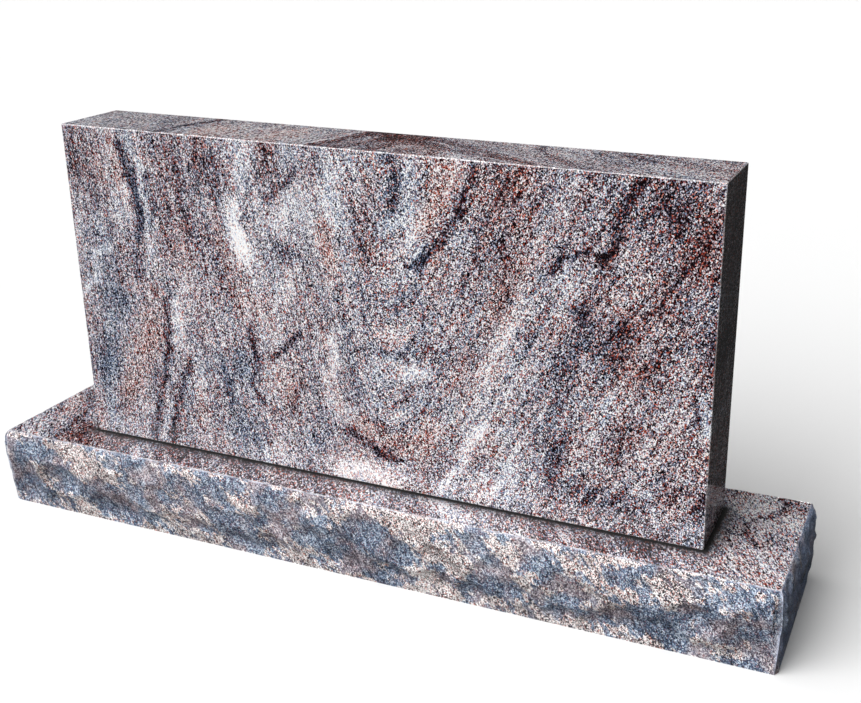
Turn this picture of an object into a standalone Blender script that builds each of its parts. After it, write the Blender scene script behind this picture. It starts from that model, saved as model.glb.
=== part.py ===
"""Granite headstone: an upright polished die that stands on a base with rock-pitched sides.

Metres, +Z up. The origin is at the middle of the base's underside. +X runs along the base, to
the right of someone who faces the front, and the front faces -Y.

The base's polished top is a true rectangle. Below its edge the four sides are split and
chiselled: they swell out past that edge and are broken by shallow dished scoops with sharp
ridges between them.
"""
import math
import random
from collections import namedtuple

import bmesh
import bpy
import numpy as np
from mathutils import Vector
from mathutils.geometry import delaunay_2d_cdt

# The die, a slab that is sawn and polished on every side
DIE_WIDTH = 1.2192
DIE_HEIGHT = 0.6096
DIE_THICKNESS = 0.1524
DIE_ARRIS = 0.003

# Where the die stands: from the middle of the base's top, right and back
DIE_TO_RIGHT = 0.012
DIE_TO_BACK = -0.003
SEAT_GAP = 0.0003

# The base: its polished top, and its height
BASE_LENGTH = 1.520
BASE_DEPTH = 0.302
BASE_HEIGHT = 0.1524

# How far the rock swells out past the edge of the polished top, at its fullest and at the foot
FRONT_SWELL = 0.018
FRONT_FOOT = 0.001
RIGHT_SWELL = 0.017
RIGHT_FOOT = 0.006
BACK_SWELL = 0.016
BACK_FOOT = 0.003
LEFT_SWELL = 0.023
LEFT_FOOT = 0.004
CORNER_SWELL = 0.006
CORNER_FOOT = 0.001

# The distance from a corner over which the corner's swell turns into the side's own
CORNER_RUN = 0.022

# The shape of the swell, in shares of the base's height: it is fullest at CROWN, and a small
# BROW makes it turn out sharply below the top edge
CROWN = 0.70
BROW = 0.65

# Scoops fade out over these shares of the height, so that the edges of the block stay straight
SCOOP_FADE_AT_FOOT = 0.14
SCOOP_FADE_AT_TOP = 0.07

# Scoops struck along the sides in rows, with their sizes in metres
SCOOP_SPACING = 0.066
SCOOP_HALF_LENGTH = (0.036, 0.062)
SCOOP_HALF_HEIGHT = (0.021, 0.036)
SCOOP_DEPTH = (0.005, 0.012)
SCOOP_ROWS = (0.22, 0.51, 0.80)
SCOOP_LEAN = math.radians(-32)
SCOOP_LEAN_SPREAD = math.radians(16)

# How far each struck scoop may stray from its place: a share of the step between two, and a
# share of the base's height
SCOOP_STRAY_ALONG = 0.3
SCOOP_STRAY_UP = 0.10
SCOOP_SEED = 7

# Larger scoops of the front. Each has its distance, its height, its half length and half
# height, and its depth, all in shares of the base's height, then its lean in degrees. The
# first lot is struck near both ends, alike at the left and the right, with its distance from
# the end. The second is struck along the middle, with its distance from the middle
END_SCOOPS = (
    (0.20, 0.33, 0.33, 0.47, 0.075, 0),
    (0.43, 0.86, 0.16, 0.13, 0.030, -20),
    (0.83, 0.50, 0.34, 0.23, 0.085, -10),
    (0.79, 0.09, 0.28, 0.13, 0.045, -8),
    (1.67, 0.82, 0.14, 0.17, 0.035, -30),
    (1.69, 0.20, 0.44, 0.29, 0.080, -8),
    (2.27, 0.43, 0.17, 0.10, 0.034, -14),
    (2.35, 0.16, 0.24, 0.12, 0.042, -12),
)
MIDDLE_SCOOPS = (
    (-2.00, 0.24, 0.27, 0.10, 0.035, -22),
    (-1.51, 0.49, 0.33, 0.13, 0.040, -8),
    (-1.41, 0.13, 0.31, 0.14, 0.052, -10),
    (-0.97, 0.80, 0.22, 0.15, 0.066, -35),
    (-0.72, 0.52, 0.16, 0.09, 0.030, -50),
    (-0.52, 0.84, 0.13, 0.17, 0.046, -50),
    (-0.10, 0.25, 0.34, 0.22, 0.072, -20),
    (0.33, 0.69, 0.41, 0.22, 0.072, -10),
    (0.56, 0.18, 0.30, 0.16, 0.052, -12),
    (1.15, 0.84, 0.13, 0.06, 0.033, -60),
    (1.15, 0.21, 0.29, 0.18, 0.052, -15),
    (1.64, 0.77, 0.24, 0.20, 0.072, -30),
    (2.00, 0.39, 0.30, 0.17, 0.052, -15),
    (2.46, 0.84, 0.13, 0.18, 0.040, -45),
)

# The grid that the rock is made on. Its rows crowd together under the top edge
ROCK_STEP = 0.0135
ROCK_ROWS = 12
ROW_CROWDING = 1.3

# Finishes: colour as sRGB, roughness and metallic value
DIE_FINISH = ((0.50, 0.43, 0.44), 0.08, 0.0)
BASE_FINISH = ((0.56, 0.53, 0.54), 0.55, 0.0)

Side = namedtuple("Side", "name start along out run swell foot seed")
Scoop = namedtuple("Scoop", "along height half_length half_height lean depth")


def clear_scene():
    for obj in list(bpy.data.objects):
        bpy.data.objects.remove(obj, do_unlink=True)


def to_linear(channel):
    """One sRGB channel as the linear value that a shader takes."""
    if channel <= 0.04045:
        return channel / 12.92
    return ((channel + 0.055) / 1.055) ** 2.4


def make_material(name, finish):
    colour, roughness, metallic = finish
    material = bpy.data.materials.new(name)
    material.use_nodes = True
    shader = material.node_tree.nodes["Principled BSDF"]
    shader.inputs["Base Color"].default_value = (*map(to_linear, colour), 1)
    shader.inputs["Roughness"].default_value = roughness
    shader.inputs["Metallic"].default_value = metallic
    return material


def add_object(name, mesh, material):
    mesh.materials.append(material)
    obj = bpy.data.objects.new(name, mesh)
    bpy.context.scene.collection.objects.link(obj)
    return obj


def base_sides():
    """The four sides in order, counter-clockwise from above, each from its first corner."""
    x, y = BASE_LENGTH / 2, BASE_DEPTH / 2
    return (
        Side("front", (-x, -y), (1, 0), (0, -1), BASE_LENGTH, FRONT_SWELL, FRONT_FOOT, 1),
        Side("right", (x, -y), (0, 1), (1, 0), BASE_DEPTH, RIGHT_SWELL, RIGHT_FOOT, 2),
        Side("back", (x, y), (-1, 0), (0, 1), BASE_LENGTH, BACK_SWELL, BACK_FOOT, 3),
        Side("left", (-x, y), (0, -1), (-1, 0), BASE_DEPTH, LEFT_SWELL, LEFT_FOOT, 4),
    )


def swell_at(share, most, foot):
    """How far the rock stands out at a share of the height.

    It is the foot's value at the bottom, the most at CROWN and nothing at the top edge. The
    curve is a power of the height times a power of what is left above it, set so that its
    highest point is at CROWN.
    """
    below = BROW * CROWN / (1 - CROWN)
    rise = (share / CROWN) ** below * ((1 - share) / (1 - CROWN)) ** BROW
    return foot * (1 - share) + (most - foot * (1 - CROWN)) * rise


def large_scoop(along, row):
    """A scoop from a row of the tables of large ones, at a distance along the side."""
    height, half_length, half_height, depth = [BASE_HEIGHT * size for size in row[1:5]]
    return Scoop(along, height, half_length, half_height, math.radians(row[5]), depth)


def large_scoops(run):
    """The large scoops of the front: those at both ends, the right ones a mirror of the left
    ones, and those along the middle."""
    for row in END_SCOOPS:
        scoop = large_scoop(BASE_HEIGHT * row[0], row)
        yield scoop
        yield scoop._replace(along=run - scoop.along, lean=-scoop.lean)
    for row in MIDDLE_SCOOPS:
        yield large_scoop(run / 2 + BASE_HEIGHT * row[0], row)


def struck_scoops(side):
    """Rows of scoops at even steps along a side, each moved and turned at random."""
    rng = random.Random(SCOOP_SEED + side.seed)
    count = max(1, round(side.run / SCOOP_SPACING))
    for row in SCOOP_ROWS:
        for i in range(count):
            yield Scoop(
                side.run / count * (i + 0.5 + rng.uniform(-1, 1) * SCOOP_STRAY_ALONG),
                BASE_HEIGHT * (row + rng.uniform(-1, 1) * SCOOP_STRAY_UP),
                rng.uniform(*SCOOP_HALF_LENGTH),
                rng.uniform(*SCOOP_HALF_HEIGHT),
                SCOOP_LEAN + rng.uniform(-1, 1) * SCOOP_LEAN_SPREAD,
                rng.uniform(*SCOOP_DEPTH),
            )


def scoops_of(side):
    """Every scoop of a side. Only the front has the large ones, and its small ones keep out of
    them."""
    struck = list(struck_scoops(side))
    if side.name != "front":
        return struck
    large = list(large_scoops(side.run))
    return large + [s for s in struck if scoop_depth(large, s.along, s.height) == 0]


def scoop_depth(scoops, along, height):
    """The deepest scoop at each point. A scoop is a dish: its depth times 1 minus r squared,
    where r is 1 on the edge of its leaning ellipse."""
    depth = np.zeros(np.broadcast(along, height).shape)
    for scoop in scoops:
        right, up = along - scoop.along, height - scoop.height
        cosine, sine = math.cos(scoop.lean), math.sin(scoop.lean)
        u = (right * cosine + up * sine) / scoop.half_length
        v = (up * cosine - right * sine) / scoop.half_height
        depth = np.maximum(depth, scoop.depth * (1 - u * u - v * v))
    return depth


def rock_relief(side, along, share):
    """How far the rock stands out of a side, for columns at along and rows at share."""
    fade = np.minimum(share / SCOOP_FADE_AT_FOOT, (1 - share) / SCOOP_FADE_AT_TOP)
    dishes = scoop_depth(scoops_of(side), along, share * BASE_HEIGHT) * np.clip(fade, 0, 1)
    own = swell_at(share, side.swell, side.foot) - dishes
    corner = swell_at(share, CORNER_SWELL, CORNER_FOOT)
    nearness = np.clip(np.minimum(along, side.run - along) / CORNER_RUN, 0, 1)
    blend = nearness * nearness * (3 - 2 * nearness)
    return corner + (own - corner) * blend


def side_points(side, before):
    """Points of one side, column by column from its first corner, leaving out its last corner.

    A column moves straight out by the relief. The corner's own column moves out of both of
    the sides that meet there.
    """
    count = max(3, round(side.run / ROCK_STEP))
    along = (np.arange(count) * side.run / count)[:, None]
    share = 1 - np.linspace(1, 0, ROCK_ROWS + 1)[None, :] ** ROW_CROWDING
    relief = rock_relief(side, along, share)
    points = np.empty((count, ROCK_ROWS + 1, 3))
    for axis in (0, 1):
        points[..., axis] = side.start[axis] + side.along[axis] * along + side.out[axis] * relief
    points[0, :, :2] += np.outer(relief[0], before.out)
    points[..., 2] = share * BASE_HEIGHT
    return points


def cap_triangles(ring):
    """Triangles that fill a closed ring of points in one level plane."""
    flat = [Vector(point[:2]) for point in ring]
    edges = [(i, (i + 1) % len(flat)) for i in range(len(flat))]
    inside_only = 1
    tolerance = 1e-7
    _, _, faces, origins, _, _ = delaunay_2d_cdt(flat, edges, [], inside_only, tolerance)
    return [[origins[i][0] for i in face] for face in faces]


def make_base():
    sides = base_sides()
    points = np.concatenate([side_points(side, sides[i - 1]) for i, side in enumerate(sides)])
    columns = len(points)
    work = bmesh.new()
    grid = [[work.verts.new(point) for point in column] for column in points]
    for i in range(columns):
        here, there = grid[i], grid[(i + 1) % columns]
        for j in range(ROCK_ROWS):
            work.faces.new((here[j], there[j], there[j + 1], here[j + 1]))
    for row in (0, ROCK_ROWS):
        for triangle in cap_triangles(points[:, row]):
            work.faces.new([grid[i][row] for i in triangle])
    bmesh.ops.triangulate(work, faces=work.faces[:], quad_method="BEAUTY")
    bmesh.ops.recalc_face_normals(work, faces=work.faces[:])
    mesh = bpy.data.meshes.new("base")
    work.to_mesh(mesh)
    work.free()
    return add_object("base", mesh, make_material("rock_pitched_granite", BASE_FINISH))


def make_die():
    work = bmesh.new()
    bmesh.ops.create_cube(work, size=1)
    bmesh.ops.scale(work, vec=(DIE_WIDTH, DIE_THICKNESS, DIE_HEIGHT), verts=work.verts)
    mesh = bpy.data.meshes.new("die")
    work.to_mesh(mesh)
    work.free()
    die = add_object("die", mesh, make_material("polished_granite", DIE_FINISH))
    foot = BASE_HEIGHT + SEAT_GAP
    die.location = (DIE_TO_RIGHT, DIE_TO_BACK, foot + DIE_HEIGHT / 2)
    arris = die.modifiers.new("arris", "BEVEL")
    arris.width = DIE_ARRIS
    arris.segments = 1
    return die


clear_scene()
make_base()
make_die()
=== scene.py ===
# %% [markdown]
# # A granite headstone
#
# The real object is two blocks of one stone. The upright one, which masons call the die, is sawn
# and polished on every side. It stands on a wide low base whose top is polished too, while its
# four sides are split and chiselled into rough rock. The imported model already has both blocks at
# their true size. This lesson dresses them: finer meshes, the pattern of the stone, its crystals,
# its two finishes, and a soft studio light.
#
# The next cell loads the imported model, keeps its box, and reads where the two blocks are.

import itertools
import math
import random
from collections import namedtuple

import bpy
import numpy as np
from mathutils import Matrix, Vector


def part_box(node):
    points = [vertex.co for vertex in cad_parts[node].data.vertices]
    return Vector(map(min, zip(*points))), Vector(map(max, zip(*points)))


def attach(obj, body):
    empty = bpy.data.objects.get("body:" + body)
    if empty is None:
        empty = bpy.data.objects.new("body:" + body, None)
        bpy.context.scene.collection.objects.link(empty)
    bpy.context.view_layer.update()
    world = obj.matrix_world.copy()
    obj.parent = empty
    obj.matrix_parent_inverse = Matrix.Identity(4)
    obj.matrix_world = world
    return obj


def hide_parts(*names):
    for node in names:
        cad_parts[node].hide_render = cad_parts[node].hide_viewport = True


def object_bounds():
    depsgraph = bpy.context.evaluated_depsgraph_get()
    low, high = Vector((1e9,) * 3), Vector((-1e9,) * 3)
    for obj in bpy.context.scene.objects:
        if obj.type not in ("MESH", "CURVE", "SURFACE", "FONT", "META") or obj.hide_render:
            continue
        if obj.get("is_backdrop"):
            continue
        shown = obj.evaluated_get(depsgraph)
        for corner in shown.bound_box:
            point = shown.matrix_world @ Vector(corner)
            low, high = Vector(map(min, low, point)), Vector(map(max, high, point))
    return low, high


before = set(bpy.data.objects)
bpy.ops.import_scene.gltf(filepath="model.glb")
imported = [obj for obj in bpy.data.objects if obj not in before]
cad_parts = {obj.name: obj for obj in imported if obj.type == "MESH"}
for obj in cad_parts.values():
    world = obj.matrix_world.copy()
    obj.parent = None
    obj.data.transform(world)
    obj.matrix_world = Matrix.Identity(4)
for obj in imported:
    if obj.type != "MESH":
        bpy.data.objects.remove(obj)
cad_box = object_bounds()
die_low, die_high = (np.array(corner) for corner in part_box("die"))
base_low, base_high = (np.array(corner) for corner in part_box("base"))
print("die", die_low.round(4), die_high.round(4), "base", base_low.round(4), base_high.round(4))

# %% [markdown]
# ## Camera
#
# A camera is placed first, because everything else is judged through it. The straight edges of
# the die and the base fix it: where each runs in the image says how far away the camera is, how
# long its lens is and which point of the image it looks straight at. That point is a little
# right of the middle and above it, as in a cropped image, so the lens is shifted by as much.

# %% Camera
# The image and the point straight ahead are in pixels, the lens in mm, the place in metres
IMAGE_SIZE = (861, 703)
STRAIGHT_AHEAD = (498.2, 324.5)
LENS = 50.19
PLACE = (0.9638, -1.7836, 1.1668)
DOWNWARD = math.radians(20.056)
TURNED_LEFT = math.radians(22.41)

camera_data = bpy.data.cameras.new("camera")
camera_data.sensor_width = 36
camera_data.lens = LENS
camera_data.shift_x = (IMAGE_SIZE[0] / 2 - STRAIGHT_AHEAD[0]) / IMAGE_SIZE[0]
camera_data.shift_y = (STRAIGHT_AHEAD[1] - IMAGE_SIZE[1] / 2) / IMAGE_SIZE[0]
camera = bpy.data.objects.new("camera", camera_data)
camera.location = PLACE
camera.rotation_euler = (math.pi / 2 - DOWNWARD, 0, TURNED_LEFT)
bpy.context.scene.collection.objects.link(camera)
bpy.context.scene.camera = camera
print("camera shift", round(camera_data.shift_x, 4), round(camera_data.shift_y, 4))

# %% [markdown]
# ## Randomness that never changes
#
# Stone needs noise: smooth random values. A lattice of whole-numbered corners fills space, each
# corner gets a number from its own coordinates, and between corners the numbers are blended. The
# same point always gets the same value, so both blocks and every run agree. It is done with
# numpy for all points at once, because a mesh can then carry the result as an attribute. The
# shader noise of Blender can't shape a mesh or be read back, so it is kept for the fine grain.

# %% Smooth noise
MM = 0.001
BITS = 0xFFFFFFFF
CORNER_FACTORS = np.array([374761393, 668265263, 1440662683])
SEED_FACTOR = 1274126177


def corner_values(corners, seed):
    """A steady random number from -1 to 1 for each corner of the lattice.

    The three whole numbers of a corner and the seed are each multiplied by a large odd number
    and added up. The sum's bits are then mixed by shifting it onto itself and multiplying again.
    """
    mixed = (corners @ CORNER_FACTORS + seed * SEED_FACTOR) & BITS
    mixed = ((mixed ^ (mixed >> 13)) * SEED_FACTOR) & BITS
    return ((mixed ^ (mixed >> 16)) & 0xFFFF) / 32767.5 - 1


def noise(points, size, seed):
    """Smooth random values that change over a distance of size.

    Each point blends the values of the 8 corners around it. A corner's share is the product of
    three weights, and a weight is 3t squared minus 2t cubed of the distance t along an axis.
    """
    scaled = points / size
    corner = np.floor(scaled).astype(np.int64)
    t = scaled - corner
    weight = t * t * (3 - 2 * t)
    total = 0
    for offset in itertools.product((0, 1), repeat=3):
        share = np.prod(np.where(offset, weight, 1 - weight), axis=-1)
        total = total + share * corner_values(corner + offset, seed)
    return total


def rough_noise(points, size, seed, octaves=3):
    """Noise with finer and fainter noise added: each octave is half as large and half as strong."""
    return sum(noise(points, size / 2**i, seed + i) / 2**i for i in range(octaves))


def ramp(value, low, high):
    """0 below low, 1 above high, and a smooth step between them."""
    t = np.clip((value - low) / (high - low), 0, 1)
    return t * t * (3 - 2 * t)


test_points = np.random.default_rng(1).uniform(0, 1, (20000, 3))
print("noise spreads by", noise(test_points, 0.02, 1).std().round(2), "around its mean")

# %% [markdown]
# ## Meshes from grids
#
# Every surface here is a grid of points with rows and columns. A block is a few grids whose
# borders coincide, so the last step is to weld them: points in the same place become one, and
# the block is closed. Loops in Python would be slow for so many points, and numpy numbers all the
# corners of a grid at once.

# %% Weld grids into one closed mesh
def grid_quads(shape, first):
    """The quads between the rows and columns of a grid whose points are numbered from first."""
    number = first + np.arange(shape[0] * shape[1]).reshape(shape[:2])
    corners = (number[:-1, :-1], number[1:, :-1], number[1:, 1:], number[:-1, 1:])
    return np.stack(corners, axis=-1).reshape(-1, 4)


def weld(grids):
    """Points and quads of several grids, with points in one place made one.

    Also gives, for each point of each grid in turn, which welded point it became.
    """
    firsts = np.cumsum([0] + [grid.shape[0] * grid.shape[1] for grid in grids])
    quads = np.concatenate([grid_quads(grid.shape, first) for grid, first in zip(grids, firsts)])
    points = np.concatenate([grid.reshape(-1, 3) for grid in grids])
    _, kept, became = np.unique(points.round(7), axis=0, return_index=True, return_inverse=True)
    became = became.reshape(-1)
    return points[kept], became[quads], became


def add_piece(name, points, faces, attributes):
    """A mesh object at the origin, with one number per point in each named attribute."""
    mesh = bpy.data.meshes.new(name)
    mesh.from_pydata(points, [], faces)
    mesh.shade_smooth()
    for label, values in attributes.items():
        mesh.attributes.new(label, "FLOAT", "POINT").data.foreach_set("value", values.astype(np.float32))
    piece = bpy.data.objects.new(name, mesh)
    bpy.context.scene.collection.objects.link(piece)
    triangles = sum(len(p.vertices) - 2 for p in mesh.polygons)
    print(name, len(points), "points", triangles, "triangles")
    return piece

# %% [markdown]
# ## The die's block
#
# Masons take the sharpness off a polished edge with a few strokes of a pad, which leaves a
# narrow rounded arris that catches the light. A Bevel modifier could make it, but one formula
# gives the whole block with exact normals. Start with grids on the six faces of a plain box.
# Shrink the box by the arris on every side, find for each point the nearest point of the
# smaller box, and go out from there by the arris's radius, in the direction of the first point.

# %% Points of the die
ARRIS = 2.2 * MM
DIE_STEP = 4.6 * MM
ARRIS_ANGLES = np.radians((15, 30, 45))


def block_lines(half):
    """Where the grid lines of a block cross one axis: even steps along the flat, then lines that
    turn the arris in equal angles."""
    flat = half - ARRIS
    even = np.linspace(-flat, flat, round(2 * flat / DIE_STEP) + 1)
    turn = flat + ARRIS * np.tan(ARRIS_ANGLES)
    return np.concatenate([-turn[::-1], even, turn])


def box_faces(lines):
    """A grid for each of the six faces of a box, all with their normals outwards."""
    for axis in range(3):
        u, v = (axis + 1) % 3, (axis + 2) % 3
        for sign in (-1, 1):
            grid = np.empty((len(lines[u]), len(lines[v]), 3))
            grid[..., u] = lines[u][:, None]
            grid[..., v] = lines[v][None, :]
            grid[..., axis] = sign * lines[axis][-1]
            yield grid[::sign]


half_die = (die_high - die_low) / 2
box_points, die_quads, _ = weld(list(box_faces([block_lines(half) for half in half_die])))
inner = np.clip(box_points, ARRIS - half_die, half_die - ARRIS)
die_normals = (box_points - inner) / np.linalg.norm(box_points - inner, axis=1, keepdims=True)
die_points = inner + ARRIS * die_normals + (die_low + die_high) / 2
print("die", len(die_points), "points from", die_points.min(0).round(4), "to", die_points.max(0).round(4))

# %% [markdown]
# ## The pattern of the stone
#
# This granite was half molten and folded while it set. Pale, pink and dark bands run down both
# sides of a deep fold and meet in a U at its foot. The pattern has two numbers at each point.
# Tone is below 0 where dark crystals win and above 0 where white ones do. Blush is below 0 where
# they are blue-grey and above 0 where they are pink. Shader noise alone can't follow a fold, so
# numpy works out both numbers and the mesh carries them. Pattern lengths are in mm.
#
# The fold's coordinate is the number that stays the same along a band: how far up the fold's
# middle line the band starts. Noise that changes fast with it and slowly along each band gives
# streaks.

# %% The fold
# Across the die in mm, and how much higher than at the fold's middle a band runs there
FOLD_SHAPE = (
    (-100, 4900), (0, 3500), (100, 2560), (200, 1900), (300, 1360), (450, 700), (560, 230),
    (620, 40), (650, 0), (690, 30), (760, 150), (850, 330), (1000, 620), (1219, 1000), (1400, 1300),
)
# Low on the left the bands bend outwards, by so many mm at the foot and not at all above BEND_TOP.
# The bend grows over a span, from a place across the die to another
FOOT_BEND = 45
BEND_TOP = 260
BEND_SPAN = (300, 150)
# How much higher a band runs for each mm further back, left and right of a span across the die
LEAN_LEFT = 1.1
LEAN_RIGHT = 3.5
LEAN_SPAN = (450, 700)
FOLD_POWER = 0.82
# Streaks are so many mm long along the face, and through the stone
STREAK_LENGTH = 170
STREAK_DEPTH = 90


def fold_place(across, up, deep):
    """The fold's coordinate: height, less the fold's shape, less the lean times the depth.

    The result is raised to a power a little below 1 and keeps its sign. That squeezes the far
    ends together, so that bands are about as thick all over the die."""
    x, lift = np.array(FOLD_SHAPE).T
    bend = FOOT_BEND * ramp(across, *BEND_SPAN) * np.clip(1 - up / BEND_TOP, 0, 2) ** 2
    lean = LEAN_LEFT + (LEAN_RIGHT - LEAN_LEFT) * ramp(across, *LEAN_SPAN)
    height = up - np.interp(across + bend, x, lift) - lean * deep
    return np.sign(height) * np.abs(height) ** FOLD_POWER


def streaky(place, across, up, deep, thick, seed):
    """Noise in streaks along the bands: fast across them and slow along them."""
    sideways = across / STREAK_LENGTH + deep / STREAK_DEPTH
    return noise(np.stack([place / thick, sideways, up / STREAK_LENGTH], axis=-1), 1, seed)


print("fold's coordinate at the foot's left end and middle", fold_place(np.array([0, 620]), 0, 0).round())
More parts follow.
